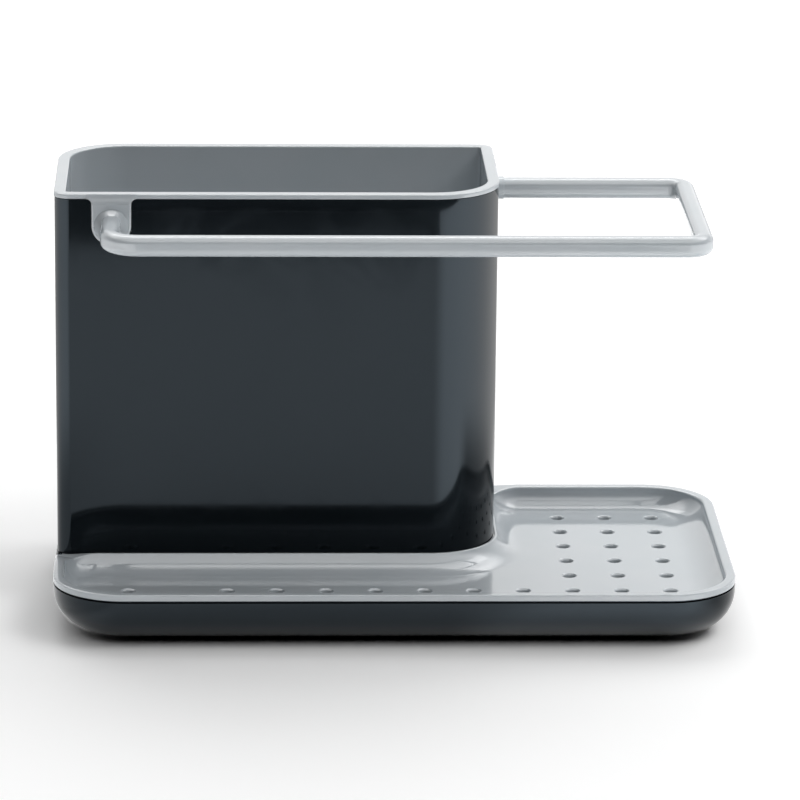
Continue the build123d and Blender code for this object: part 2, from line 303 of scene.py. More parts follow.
finishes = {
    "dark_plastic": skinMaterial("darkPlastic", {
        "color": (0.0010, 0.0018, 0.0023),
        "tint": (0.0015, 0.0024, 0.0030),
        "tintFrom": "Tint",  # the skin's output that mixes the two
        "rough": 0.07,
        "smear": 0.05,
        "grain": skinLook["grainScale"],
        "bump": 0.02,
        "bumpDepth": 0.0002,
        "ior": 1.32,
        "sheen": (0.72, 0.87, 1.0),
    }),
    "light_plastic": skinMaterial("lightPlastic", {
        "color": (0.44, 0.478, 0.504),
        "tint": (0.456, 0.488, 0.514),
        "tintFrom": "Tint",
        "rough": 0.06,
        "smear": 0.05,
        "grain": skinLook["grainScale"],
        "bump": 0.03,
        "bumpDepth": 0.0002,
        "ior": 1.5,
        "sheen": (1.0, 1.0, 1.0),
    }),
    "rubber": skinMaterial("rubber", {
        "color": (0.018, 0.018, 0.019),
        "tint": (0.032, 0.031, 0.03),
        "tintFrom": "Rough",
        "rough": 0.7,
        "smear": 0.15,
        "grain": 4000,
        "bump": 0.4,
        "bumpDepth": 0.0003,
        "ior": 1.5,
        "sheen": (1.0, 1.0, 1.0),
    }),
}
print("materials made")


# base

baseSizes = {
    "underside": 1.2,
    "edge": 12,
    "wall": 1.6,
    "floor": 3.2,
    "flat": 0.3,  # the flat floor starts this far past the round edge
    "grooveBottom": 14.9,
    "grooveDepth": 0.6,
    "lipRound": 0.2,
    "lipBulge": 0.3,  # share of the round that its middle point keeps
    "ledgeWidth": 2.2,
    "ledgeTop": 13.7,
    "ledgeBottom": 11.2,
    "ledgeSink": 0.4,  # how far the ledge reaches into the wall
    "footInset": 24,
    "footRadius": 6,
    "footGap": 0.1,
    "footRecess": 0.9,
}

footPlaces = {}
for endName, end in (("left", -1), ("right", 1)):
    for sideName, side in (("front", -1), ("rear", 1)):
        footPlaces[f"foot_{sideName}_{endName}"] = (
            end * (right - baseSizes["footInset"]),
            side * (back - baseSizes["footInset"]),
        )

bm = bmesh.new()
edge, wall, lipRound = baseSizes["edge"], baseSizes["wall"], baseSizes["lipRound"]
underside, grooveBottom = baseSizes["underside"], baseSizes["grooveBottom"]
flatInset = edge + baseSizes["flat"]
baseProfile = [(flatInset, underside)]
baseProfile += arcProfile((edge, underside + edge), edge, 270, 180, steps=20)
baseProfile += [
    (0, grooveBottom - lipRound),
    (lipRound * baseSizes["lipBulge"], grooveBottom - lipRound * baseSizes["lipBulge"]),
    (lipRound, grooveBottom),
    (baseSizes["grooveDepth"], grooveBottom),
    (baseSizes["grooveDepth"], seam),
    (wall - lipRound, seam),
    (wall, seam - lipRound),
]
baseProfile += arcProfile((edge, baseSizes["floor"] + edge - wall), edge - wall, 180, 270, steps=16)
baseProfile += [(flatInset, baseSizes["floor"])]
baseRings = loftRings(bm, baseOutline, baseProfile)
bm.faces.new(baseRings[-1])
recessMouths = []
for place in footPlaces.values():
    outline = circleOutline(place, baseSizes["footRadius"] + baseSizes["footGap"], 48)
    heights = (underside, underside + baseSizes["footRecess"])
    mouth, top = loftSections(bm, [atHeight(outline, height) for height in heights])
    bm.faces.new(top)
    recessMouths.append(mouth)
fillLoops(bm, [baseRings[0]] + recessMouths, (0, 0, -1))
makePiece("baseShell", bm, "base", "base_reservoir", "dark_plastic")

# the ledge inside the base, along its left and back
bm = bmesh.new()
ledgeRight = planSizes["containerRight"] - baseSizes["ledgeWidth"]
ledgeFront = planSizes["containerFront"] + baseSizes["ledgeWidth"]
ledgeInset = wall + baseSizes["ledgeWidth"]
sinkInset = wall - baseSizes["ledgeSink"]
ledgeLine = [
    (inner, outer) for inner, outer in zip(baseOutline(ledgeInset), baseOutline(sinkInset))
    if inner[0] < ledgeRight and inner[1] > ledgeFront and inner[0] < inner[1]
]
ledgeLine.sort(key=lambda pair: pair[0][0] + pair[0][1])
ledgeLine.insert(0, ((left + ledgeInset, ledgeFront), (left + sinkInset, ledgeFront)))
ledgeLine.append(((ledgeRight, back - ledgeInset), (ledgeRight, back - sinkInset)))
low, high = baseSizes["ledgeBottom"], baseSizes["ledgeTop"]
rings = loftSections(bm, [
    [(*outer, low), (*inner, low), (*inner, high), (*outer, high)] for inner, outer in ledgeLine
])
bm.faces.new(rings[0])
bm.faces.new(rings[-1])
makePiece("baseLedge", bm, "base", "base_reservoir", "dark_plastic")
print("base made")


# feet

footSizes = {
    "height": 2.1,
    "round": 0.4,
    "dish": 0.15,  # depth of the hollow under the foot
    "dishRadius": 4.2,
    "dishSlope": 0.5,
    "topEdge": 0.15,
}

radius, footRound = baseSizes["footRadius"], footSizes["round"]
footProfile = [
    (footSizes["dishRadius"] - footSizes["dishSlope"], footSizes["dish"]),
    (footSizes["dishRadius"], 0.0),
]
footProfile += arcProfile((radius - footRound, footRound), footRound, 270, 360, steps=6)
footProfile += [
    (radius, footSizes["height"] - footSizes["topEdge"]),
    (radius - footSizes["topEdge"], footSizes["height"]),
]
for name, place in footPlaces.items():
    bm = bmesh.new()
    turnProfile(bm, footProfile, (*place, 0), (1, 0, 0), (0, 0, 1), steps=56)
    makePiece("pad_" + name, bm, "base", name, "rubber")
print("feet made")


# brush container

containerSizes = {
    "wall": 1.8,
    "floor": 2.0,
    "edge": 0.6,
    "topRound": 0.2,
    "innerRound": 1.0,
    "ringInset": 9,
    "ringWall": 1.8,
    "ringHeight": 4,
    "ringEdge": 0.3,
    "drainRadius": 1.8,
    "drainEdge": 0.2,
    "drainColumns": 6,
    "drainRows": 3,
    "drainSideInset": 22,
    "drainFrontInset": 15.9,
}

tabSizes = {
    "width": 11.8,
    "stand": {"front": 1.2, "rear": 0.4},
    "flare": 1.6,
    "edge": 0.5,
    "edgeShare": 0.8,  # of a tab's stand, at most
    "gap": 0.2,
    "notchOver": 2,  # how far the notch's cutter goes past the rim
    "notchPast": 1,  # and past the wall
    "top": 9.58,  # a hair under the rim's top
    "root": 2.75,  # how far the tab reaches into the liner's wall
    "blendFrom": 6.2,  # above here the tab draws back to the rim's face
    "blendStand": 0.2,
    "blendRows": 10,
}

drainLow = (
    planSizes["containerLeft"] + containerSizes["drainSideInset"],
    planSizes["containerFront"] + containerSizes["drainFrontInset"],
)
drainHigh = (
    planSizes["containerRight"] - containerSizes["drainSideInset"],
    planSizes["containerBack"] - containerSizes["drainFrontInset"],
)
columnPitch = (drainHigh[0] - drainLow[0]) / (containerSizes["drainColumns"] - 1)
rowPitch = (drainHigh[1] - drainLow[1]) / (containerSizes["drainRows"] - 1)
drainPlaces = [
    (drainLow[0] + column * columnPitch, drainLow[1] + row * rowPitch)
    for row in range(containerSizes["drainRows"]) for column in range(containerSizes["drainColumns"])
]


def drainedFloor(bm, outerRing, innerRing, under, over):
    radius, edge = containerSizes["drainRadius"], containerSizes["drainEdge"]
    profile = [(radius + edge, under), (radius, under + edge), (radius, over - edge), (radius + edge, over)]
    mouths, tops = [], []
    for place in drainPlaces:
        rings = loftRings(bm, lambda ringRadius: circleOutline(place, ringRadius, 24), profile)
        mouths.append(rings[0])
        tops.append(rings[-1])
    fillLoops(bm, [outerRing] + mouths, (0, 0, -1))
    fillLoops(bm, [innerRing] + tops, (0, 0, 1))


def tabOutline(grow):
    half = tabSizes["width"] / 2 + grow
    flare = tabSizes["flare"] - grow
    flareTop = containerTop - planSizes["tabHeight"] - grow
    top = tabSizes["top"] + (tabSizes["notchOver"] if grow else 0)
    points = arcProfile((0, 0), half, 180, 360, steps=40)
    points += arcProfile((half + flare, flareTop - flare), flare, 180, 90, steps=8)
    points += [(half + flare, top), (-half - flare, top)]
    points += arcProfile((-half - flare, flareTop - flare), flare, 90, 0, steps=8)
    return points


def tabPoint(which, along, up, out):
    if which == "front":
        return (planSizes["frontTab"] + along, planSizes["containerFront"] - out, planSizes["tabHeight"] + up)
    return (planSizes["containerRight"] + out, planSizes["rearTab"] + along, planSizes["tabHeight"] + up)


def tabPrism(which, grow, inner, outer):
    bm = bmesh.new()
    outline = tabOutline(grow)
    rings = loftSections(bm, [[tabPoint(which, x, z, out) for x, z in outline] for out in (inner, outer)])
    bm.faces.new(rings[0])
    bm.faces.new(rings[1])
    bmesh.ops.recalc_face_normals(bm, faces=bm.faces)
    return bm, rings[1]


bm = bmesh.new()
wall, topRound = containerSizes["wall"], containerSizes["topRound"]
edge, innerRound = containerSizes["edge"], containerSizes["innerRound"]
floorTop = seam + containerSizes["floor"]
containerProfile = arcProfile((edge, seam + edge), edge, 270, 180, steps=5)
containerProfile += [
    (0, containerTop - topRound),
    (topRound, containerTop),
    (wall - topRound, containerTop),
    (wall, containerTop - topRound),
]
containerProfile += arcProfile((wall + innerRound, floorTop + innerRound), innerRound, 180, 270, steps=5)
containerRings = loftRings(bm, containerOutline, containerProfile)
drainedFloor(bm, containerRings[0], containerRings[-1], seam, floorTop)
container = makePiece("containerShell", bm, "container", "brush_container", "dark_plastic")
notchPast = tabSizes["notchPast"]
for which in ("front", "rear"):
    cutterMesh = tabPrism(which, tabSizes["gap"], -wall - notchPast, notchPast)[0]
    cutPiece(container, meshObject("notch", cutterMesh))

# the ring under the container, which sits in the tray's opening
bm = bmesh.new()
ringEdge, ringBottom = containerSizes["ringEdge"], seam - containerSizes["ringHeight"]
ringOuter, ringInner = containerSizes["ringInset"], containerSizes["ringInset"] + containerSizes["ringWall"]
loftRings(bm, containerOutline, [
    (ringOuter, seam),
    (ringOuter, ringBottom + ringEdge),
    (ringOuter + ringEdge, ringBottom),
    (ringInner - ringEdge, ringBottom),
    (ringInner, ringBottom + ringEdge),
    (ringInner, seam),
])
makePiece("containerLocatingRing", bm, "container", "brush_container", "dark_plastic")
print("container made")


# liner

linerSizes = {
    "overhang": 0.2,
    "rim": 1.45,
    "edge": 0.5,
    "lowerEdge": 0.15,
    "inset": 2.05,
    "wall": 1.4,
    "under": 17.9,
    "floor": 1.6,
    "footEdge": 1.2,
    "innerRound": 1.5,
}

bm = bmesh.new()
edge, footEdge, lowerEdge = linerSizes["edge"], linerSizes["footEdge"], linerSizes["lowerEdge"]
inset, under, rimOuter = linerSizes["inset"], linerSizes["under"], -linerSizes["overhang"]
innerRound = linerSizes["innerRound"]
rimTop = containerTop + linerSizes["rim"]
cupInset = inset + linerSizes["wall"]
cupFloor = under + linerSizes["floor"]
linerProfile = arcProfile((inset + footEdge, under + footEdge), footEdge, 270, 180, steps=5)
linerProfile += [
    (inset, containerTop),
    (rimOuter + lowerEdge, containerTop),
    (rimOuter, containerTop + lowerEdge),
]
linerProfile += arcProfile((rimOuter + edge, rimTop - edge), edge, 180, 90, steps=6)
linerProfile += arcProfile((cupInset - edge, rimTop - edge), edge, 90, 0, steps=6)
linerProfile += arcProfile((cupInset + innerRound, cupFloor + innerRound), innerRound, 180, 270, steps=6)
linerRings = loftRings(bm, containerOutline, linerProfile)
drainedFloor(bm, linerRings[0], linerRings[-1], under, cupFloor)
makePiece("linerCup", bm, "liner", "container_liner", "light_plastic")

blendRise = tabSizes["top"] - tabSizes["blendFrom"]
for which, away in (("front", Vector((0, -1, 0))), ("rear", Vector((1, 0, 0)))):
    stand = tabSizes["stand"][which]
    bm, face = tabPrism(which, 0.0, -tabSizes["root"], stand)
    roundLoop(bm, face, min(tabSizes["edge"], tabSizes["edgeShare"] * stand), segments=5)
    for row in range(tabSizes["blendRows"]):  # rows for the tab's face to bend over
        up = tabSizes["blendFrom"] + blendRise * row / tabSizes["blendRows"]
        bmesh.ops.bisect_plane(
            bm, geom=bm.verts[:] + bm.edges[:] + bm.faces[:], dist=1e-6,
            plane_co=Vector(tabPoint(which, 0, up, 0)) * mm, plane_no=(0, 0, 1),
        )
    wallPlane = Vector(tabPoint(which, 0, 0, 0)) * mm
    for vert in bm.verts:
        out = (vert.co - wallPlane).dot(away)
        share = ease((vert.co.z / mm - planSizes["tabHeight"] - tabSizes["blendFrom"]) / blendRise)
        if out > 0 and share > 0:
            vert.co -= away * out * share * (1 - tabSizes["blendStand"] / stand)
    makePiece(which + "Tab", bm, "liner", "container_liner", "light_plastic")
print("liner made")


# towel rail

railSizes = {
    "width": 5.8,
    "height": 6.1,
    "edge": 2.2,
    "elbow": 8.5,  # bend radius where the rail leaves the front tab
    "bend": 5.0,
    "front": -39.15,  # Y of the front arm
    "right": 90.35,  # X of the right-hand arm
    "collarRadius": 5.2,
    "collarEdge": (0.15, 0.12),  # its bevel, inwards and along the rail
    "collarBase": 0.2,
    "collarLength": 9.0,
    "neckRadius": 2.7,
    "sleeveWall": 0.3,
    "sleeveLength": 2.6,
    "sleeveEdge": 0.2,
}
railHeight = planSizes["railHeight"]
frontStand, rearStand = tabSizes["stand"]["front"], tabSizes["stand"]["rear"]


def railOutline(grow):
    halfWide, halfHigh = railSizes["width"] / 2 + grow, railSizes["height"] / 2 + grow
    return rectOutline((-halfWide, -halfHigh), (halfWide, halfHigh), [railSizes["edge"] + grow] * 4, 8)


def ringParts(made):
    verts = {item for item in made if isinstance(item, bmesh.types.BMVert)}
    edges = [item for item in made if isinstance(item, bmesh.types.BMEdge)]
    return list(verts), [edge for edge in edges if edge.verts[0] in verts and edge.verts[1] in verts]


def runStraight(bm, edges, distance):
    verts, edges = ringParts(bmesh.ops.extrude_edge_only(bm, edges=edges)["geom"])
    bmesh.ops.translate(bm, verts=verts, vec=distance * mm)
    return verts, edges


def runBend(bm, verts, edges, centre, angle):
    made = bmesh.ops.spin(
        bm, geom=verts + edges, cent=centre * mm, axis=(0, 0, 1), angle=angle,
        steps=18, use_duplicate=False, use_merge=False,
    )
    return ringParts(made["geom_last"])


bm = bmesh.new()
startX, startY = planSizes["frontTab"], planSizes["containerFront"] - frontStand
verts = loftSections(bm, [[(startX + u, startY, railHeight + v) for u, v in railOutline(0)]])[0]
edges = loopEdges(bm, verts)
bm.faces.new(verts)
here = Vector((startX, startY, railHeight))
railCorners = [
    (planSizes["frontTab"], railSizes["front"]),
    (railSizes["right"], railSizes["front"]),
    (railSizes["right"], planSizes["rearTab"]),
    (planSizes["containerRight"] + rearStand, planSizes["rearTab"]),
]
bends = [railSizes["elbow"], railSizes["bend"], railSizes["bend"], 0]
for place, after, bend in zip(railCorners, railCorners[1:] + [None], bends):
    goal = Vector((*place, railHeight))
    heading = (goal - here).normalized()
    verts, edges = runStraight(bm, edges, goal - heading * bend - here)
    if after:
        turn = (Vector((*after, railHeight)) - goal).normalized()
        verts, edges = runBend(bm, verts, edges, goal - heading * bend + turn * bend, math.pi / 2)
        here = goal + turn * bend
bmesh.ops.holes_fill(bm, edges=edges)
makePiece("railBar", bm, "liner", "towel_rail", "light_plastic", sharpAngle=60)

# the collar at the front tab flares like a trumpet
collarRadius, neckRadius = railSizes["collarRadius"], railSizes["neckRadius"]
collarBase, collarLength = railSizes["collarBase"], railSizes["collarLength"]
flare = collarRadius - neckRadius
flareRadius = (flare ** 2 + collarLength ** 2) / (2 * flare)
flareTurn = math.degrees(math.asin(collarLength / flareRadius))
flareCentre = (neckRadius + flareRadius, collarBase + collarLength)
edgeIn, edgeAlong = railSizes["collarEdge"]
collarProfile = [(collarRadius - edgeIn, 0.0), (collarRadius, edgeAlong)]
collarProfile += arcProfile(flareCentre, flareRadius, 180 + flareTurn, 180, steps=14)
bm = bmesh.new()
turnProfile(bm, collarProfile, tabPoint("front", 0, 0, frontStand), (0, 0, 1), (0, -1, 0), steps=64)
makePiece("railCollar", bm, "liner", "towel_rail", "light_plastic")

# the sleeve at the other tab
bm = bmesh.new()
sleeveOutline = railOutline(railSizes["sleeveWall"])
sleeveStart = planSizes["containerRight"] + rearStand
rings = loftSections(bm, [
    [(x, planSizes["rearTab"] + u, railHeight + v) for u, v in sleeveOutline]
    for x in (sleeveStart, sleeveStart + railSizes["sleeveLength"])
])
bm.faces.new(rings[0])
bm.faces.new(rings[1])
roundLoop(bm, rings[1], railSizes["sleeveEdge"], segments=3)
makePiece("railSleeve", bm, "liner", "towel_rail", "light_plastic")
print("rail made")


# drip tray: every column below is a cut through the rim, the slope and the floor's edge

traySizes = {
    "floor": 11.0,
    "underside": 9.2,
    "platformUnder": 13.7,
    "standGap": 0.3,
    "inset": 1.85,
    "underRound": 5.55,
    "underStep": (1.1, 5),  # where the underside starts to fall from the platform, and over what length
    "junctionRound": 10,
    "fallFrom": -29.45,  # Y where the left rim starts to fall
    "fallHeight": 1.75,
    "fallLength": 18,
    "blendLength": 13,
    "topShare": 0.8,  # of the rim's height that its outer round may take
    "flat": 0.25,  # the flat floor starts this far past the slope
    "slopePoints": 61,  # as worked out
    "slopeRows": 20,  # as built
    "bendRows": 7,  # round the rim's inner edge
    "holeRadius": 1.85,
    "mouthRadius": 2.35,
    "mouthDepth": 0.45,
    "mouthLip": [(0.35, 0), (0.1, 0), (-0.02, -0.04), (-0.1, -0.12)],  # outwards and up from the mouth
    "mouthSlope": (0.05, 0.1),
    "holeColumns": 12,
    "holeRows": 6,
    "blockColumns": 3,
    "bareColumn": 10,
    "firstColumn": 22.44,
    "lastColumn": 19.1,
    "frontRow": 24.1,
    "backRow": 15.6,
    "platformCorner": 0.2,
    "openingGap": 0.4,
}
wallShape = {
    "rim": 3.1,  # width of the rim's flat top
    "top": 17.4,
    "outer": 0.5,  # radii of the rim's outer and inner edges
    "inner": 0.8,
    "run": 4.3,  # how far the slope reaches inwards, how high it is and how steep it starts
    "rise": 4.5,
    "tilt": 60,
    "stand": 0,  # 1 where the column starts at the container's platform
}
rightShape = {**wallShape, "run": 10, "rise": 5.2, "tilt": 55}
standShape = {
    "rim": 0.8,
    "top": 16.2,
    "outer": 0.3,
    "inner": 0.3,
    "run": 8.4,
    "rise": 5.2,
    "tilt": 63.5,
    "stand": 1,
}


def mixShapes(shapes, share):
    first, second = shapes
    return {key: first[key] + (second[key] - first[key]) * ease(share) for key in first}


def straightColumns(start, end, inward, shape, steps):
    for step in range(steps):
        columns.append((between(start, end, step / steps), inward, dict(shape)))


def cornerColumns(centre, radius, startAngle, endAngle, facing, shapes, steps):
    for step in range(steps):
        share = step / steps
        angle = math.radians(startAngle + (endAngle - startAngle) * share)
        inward = (facing * math.cos(angle), facing * math.sin(angle))
        columns.append((onCircle(centre, radius, angle), inward, mixShapes(shapes, share)))


def junctionColumns(centre, corner, shapes, steps):
    cornerAngle = math.degrees(math.atan2(corner[1] - centre[1], corner[0] - centre[0]))
    angles = [90 + (cornerAngle - 90) * step / steps for step in range(steps)]
    angles += [cornerAngle + (180 - cornerAngle) * step / steps for step in range(steps)]
    for angle in angles:
        away = onCircle((0, 0), 1, math.radians(angle))
        side = 1 if angle < cornerAngle else 0
        distance = (corner[side] - centre[side]) / away[side]
        shape = mixShapes(shapes, (angle - 90) / 90)
        shape["rim"] = distance - traySizes["junctionRound"]
        point = (centre[0] + distance * away[0], centre[1] + distance * away[1])
        columns.append((point, (-away[0], -away[1]), shape))


corner = planSizes["corner"]
junction = traySizes["junctionRound"]
standFront = planSizes["containerFront"] - traySizes["standGap"]
standRight = planSizes["containerRight"] + traySizes["standGap"]
standCorner = planSizes["broadCorner"] + traySizes["standGap"]
leftCentre = (left + wallShape["rim"] + junction, standFront - standShape["rim"] - junction)
backCentre = (standRight + standShape["rim"] + junction, back - wallShape["rim"] - junction)
standCentre = (standRight - standCorner, standFront + standCorner)

columns = []
straightColumns((left, leftCentre[1]), (left, front + corner), (1, 0), wallShape, 12)
cornerColumns((left + corner, front + corner), corner, 180, 270, -1, (wallShape, wallShape), 28)
straightColumns((left + corner, front), (right - corner, front), (0, 1), wallShape, 24)
cornerColumns((right - corner, front + corner), corner, 270, 360, -1, (wallShape, rightShape), 32)
straightColumns((right, front + corner), (right, back - corner), (-1, 0), rightShape, 12)
cornerColumns((right - corner, back - corner), corner, 0, 90, -1, (rightShape, wallShape), 32)
straightColumns((right - corner, back), (backCentre[0], back), (0, -1), wallShape, 8)
junctionColumns(backCentre, (standRight, back), (wallShape, standShape), 12)
straightColumns((standRight, backCentre[1]), (standRight, standCentre[1]), (1, 0), standShape, 8)
cornerColumns(standCentre, standCorner, 0, -90, 1, (standShape, standShape), 28)
straightColumns((standCentre[0], standFront), (leftCentre[0], standFront), (0, -1), standShape, 20)
junctionColumns(leftCentre, (left, standFront), (standShape, wallShape), 12)

# the left rim's top falls to the platform and rises again to the bead
hair = 0.01
lowTop = wallShape["top"] - traySizes["fallHeight"]
for point, inward, shape in columns:
    if point[0] < left + hair and point[1] > traySizes["fallFrom"]:
        share = (point[1] - traySizes["fallFrom"]) / traySizes["fallLength"]
        shape["top"] = wallShape["top"] - traySizes["fallHeight"] * share ** 2
    elif point[1] > standFront - hair and point[0] < left + traySizes["blendLength"]:
        share = ease((point[0] - left) / traySizes["blendLength"])
        shape["top"] = lowTop + (standShape["top"] - lowTop) * share
    shape["rise"] = min(shape["rise"], shape["top"] - traySizes["floor"])
    shape["outer"] = min(shape["outer"], traySizes["topShare"] * (shape["top"] - seam))


def walkAlong(points, distances):
    found = []
    travelled = 0
    index = 0
    for distance in distances:
        while index < len(points) - 2 and travelled + math.dist(points[index], points[index + 1]) < distance:
            travelled += math.dist(points[index], points[index + 1])
            index += 1
        length = math.dist(points[index], points[index + 1])
        share = min((distance - travelled) / length, 1) if length > 0 else 0
        found.append(between(points[index], points[index + 1], share))
    return found


def columnCut(shape):
    top, rim, outer, inner = shape["top"], shape["rim"], shape["outer"], shape["inner"]
    floor, tilt = traySizes["floor"], math.radians(shape["tilt"])
    cut = [(0, seam), (0, top - outer)]
    cut += arcProfile((outer, top - outer), outer, 180, 90, steps=5)[1:]
    cut.append((rim - inner, top))
    slope = [(rim, top)]
    for step in range(traySizes["slopePoints"]):
        turn = tilt * (1 - step / (traySizes["slopePoints"] - 1))
        slope.append((
            rim + shape["run"] * (1 - math.sin(turn) / math.sin(tilt)),
            floor + shape["rise"] * (1 - math.cos(turn)) / (1 - math.cos(tilt)),
        ))
    bend = walkAlong(slope, [inner])[0]
    for step in range(1, traySizes["bendRows"]):
        share = step / traySizes["bendRows"]
        cut.append(tuple(
            (1 - share) ** 2 * a + 2 * share * (1 - share) * b + share ** 2 * c
            for a, b, c in zip((rim - inner, top), (rim, top), bend)
        ))
    length = sum(math.dist(a, b) for a, b in zip(slope, slope[1:])) - inner
    rows = traySizes["slopeRows"]
    cut += walkAlong(slope, [inner + length * step / rows for step in range(rows + 1)])
    cut.append((rim + shape["run"] + traySizes["flat"], floor))
    return cut


def underCut(shape):
    inset, under, arcRadius = traySizes["inset"], traySizes["underside"], traySizes["underRound"]
    platform, (stepStart, stepLength) = traySizes["platformUnder"], traySizes["underStep"]
    wallCut = [(0, seam), (inset, seam)]
    wallCut += arcProfile((inset + arcRadius, under + arcRadius), arcRadius, 180, 270, steps=8)
    standCut = [(0, seam), (0, platform)]
    standCut += [between((stepStart, platform), (stepStart + stepLength, under), step / 8) for step in range(9)]
    return [between(one, two, ease(shape["stand"])) for one, two in zip(wallCut, standCut)]


def traySections(cutOf):
    cuts = [cutOf(shape) for point, inward, shape in columns]
    sections = []
    for level in zip(*cuts):
        sections.append([
            (point[0] + inward[0] * run, point[1] + inward[1] * run, height)
            for (point, inward, shape), (run, height) in zip(columns, level)
        ])
    return sections


bm = bmesh.new()
topRings = loftSections(bm, traySections(columnCut))
underRings = loftSections(bm, traySections(underCut), start=topRings[0])

columnPitch = planSizes["length"] - traySizes["firstColumn"] - traySizes["lastColumn"]
columnPitch /= traySizes["holeColumns"] - 1
rowPitch = (planSizes["depth"] - traySizes["frontRow"] - traySizes["backRow"]) / (traySizes["holeRows"] - 1)
floorHeight = traySizes["floor"]
hole, mouth = traySizes["holeRadius"], traySizes["mouthRadius"]
slopeFoot = floorHeight - traySizes["mouthDepth"]
slopeIn, slopeDown = traySizes["mouthSlope"]
holeCut = [(mouth + out, floorHeight + up) for out, up in traySizes["mouthLip"]]
holeCut += [(hole + slopeIn, slopeFoot), (hole, slopeFoot - slopeDown), (hole, traySizes["underside"])]
mouths, outlets = [], []
for row in range(traySizes["holeRows"]):
    for column in range(traySizes["holeColumns"] if row == 0 else traySizes["blockColumns"]):
        if column == traySizes["bareColumn"]:
            continue
        place = (
            right - traySizes["lastColumn"] - column * columnPitch,
            front + traySizes["frontRow"] + row * rowPitch,
        )
        rings = loftRings(bm, lambda radius: circleOutline(place, radius, 32), holeCut)
        mouths.append(rings[0])
        outlets.append(rings[-1])
fillLoops(bm, [topRings[-1]] + mouths, (0, 0, 1))
fillLoops(bm, [underRings[-1]] + outlets, (0, 0, -1))
makePiece("trayDish", bm, "tray", "drip_tray", "light_plastic")

# the platform that the container stands on
bm = bmesh.new()
inset, tight = traySizes["inset"], traySizes["platformCorner"]
platformOutline = rectOutline(
    (left + inset, standFront), (standRight, back - inset),
    [tight, standCorner, tight, corner - inset], planSizes["cornerSteps"],
)
openingOutline = containerOutline(containerSizes["ringInset"] - traySizes["openingGap"])
under = traySizes["platformUnder"]
rings = loftSections(bm, [
    atHeight(platformOutline, under),
    atHeight(platformOutline, seam),
    atHeight(openingOutline, seam),
    atHeight(openingOutline, under),
])
fillLoops(bm, [rings[0], rings[-1]], (0, 0, -1))
makePiece("trayPlatform", bm, "tray", "drip_tray", "light_plastic")
print("tray made")


# studio, in metres

def addMath(operation, *terms):
    tree = next(term for term in terms if not isinstance(term, (int, float))).id_data
    node = addNode(tree, "ShaderNodeMath", {"operation": operation})
    for socket, term in zip(node.inputs, terms):
        if isinstance(term, (int, float)):
            socket.default_value = term
        else:
            tree.links.new(term, socket)
    return node.outputs[0]


def plus(first, *others):
    for other in others:
        first = addMath("ADD", first, other)
    return first


def times(first, *others):
    for other in others:
        first = addMath("MULTIPLY", first, other)
    return first


def minus(first, second):
    return addMath("SUBTRACT", first, second)


def crossfade(first, second, share):
    return plus(times(first, minus(1.0, share)), times(share, second))


def splitAxes(tree, output):
    coords = addNode(tree, "ShaderNodeTexCoord")
    axes = addNode(tree, "ShaderNodeSeparateXYZ")
    tree.links.new(coords.outputs[output], axes.inputs[0])
    return axes.outputs[:]


def addSheet(name, low, high, height):
    bm = bmesh.new()
    bmesh.ops.create_grid(bm, x_segments=1, y_segments=1, size=0.5)
    bmesh.ops.scale(bm, vec=(high[0] - low[0], high[1] - low[1], 1), verts=bm.verts)
    bmesh.ops.translate(bm, vec=((high[0] + low[0]) / 2, (high[1] + low[1]) / 2, height), verts=bm.verts)
    sheet = meshObject(name, bm)
    material = bpy.data.materials.new(name + "Paper")
    material.use_nodes = True
    sheet.data.materials.append(material)
    material.node_tree.nodes.clear()
    paper = addNode(material.node_tree, "ShaderNodeBsdfDiffuse")
    output = addNode(material.node_tree, "ShaderNodeOutputMaterial")
    material.node_tree.links.new(paper.outputs[0], output.inputs["Surface"])
    return sheet, paper.inputs["Color"]


floorLook = {
    "size": 14.0,
    "color": 0.88,
    "shown": 1.27,  # the floor as the camera sees it, just under white
    "far": 1.7,  # and far from the object, where it is painted brighter
    "fade": (0.5, 1.8),  # distances over which the painted light changes
    "bounce": 1.75,  # how much more the floor lights the object than its colour would
}
mirrorLook = {  # painted reflection: how much brighter the floor is in reflections
    "front": 2.95,
    "side": 5.2,
    "back": 0.5,
    "behind": 1.3,  # added straight behind the object
    "toSide": (0.05, 0.5),  # directions from the container, 0 to the front and pi to the back
    "toBack": (0.8, 3.0),
    "toBehind": (2.7, 3.14),
    "left": 2.2,  # close to the object's left side
    "leftReach": (0.12, 0.26),
    "leftBeside": (0.0, 0.03),
    "leftX": (-0.05, 0.05),
    "right": 1.3,  # and close to its right side
    "rightReach": (0.14, 0.24),
    "rightTurn": (0.9, 1.3),
    "rightX": (0.05, 0.08),
}
fadeIn, fadeOut = (0.0, 1.0), (1.0, 0.0)

half = floorLook["size"] / 2
floorPaper = addSheet("floor", (-half, -half), (half, half), 0)[1]
floorTree = floorPaper.id_data
floorX, floorY = splitAxes(floorTree, "Object")[:2]
middle = (planSizes["containerLeft"] + planSizes["containerRight"]) / 2 * mm
flatHalf = (planSizes["containerRight"] - planSizes["containerLeft"]) / 2 * mm - planSizes["broadCorner"] * mm
sideways = minus(addMath("ABSOLUTE", minus(floorX, middle)), flatHalf)  # past the flat of its front
sideways = addMath("MAXIMUM", sideways, 0.0)
forward = minus(planSizes["containerFront"] * mm, floorY)
turn = addMath("ARCTAN2", sideways, forward)
distance = addMath("SQRT", plus(times(sideways, sideways), times(forward, forward)))
fanned = times(
    mapRange(turn, mirrorLook["toSide"], (mirrorLook["front"], mirrorLook["side"])),
    mapRange(turn, mirrorLook["toBack"], (1.0, mirrorLook["back"] / mirrorLook["side"])),
)
fanned = plus(fanned, mapRange(turn, mirrorLook["toBehind"], (0.0, mirrorLook["behind"])))
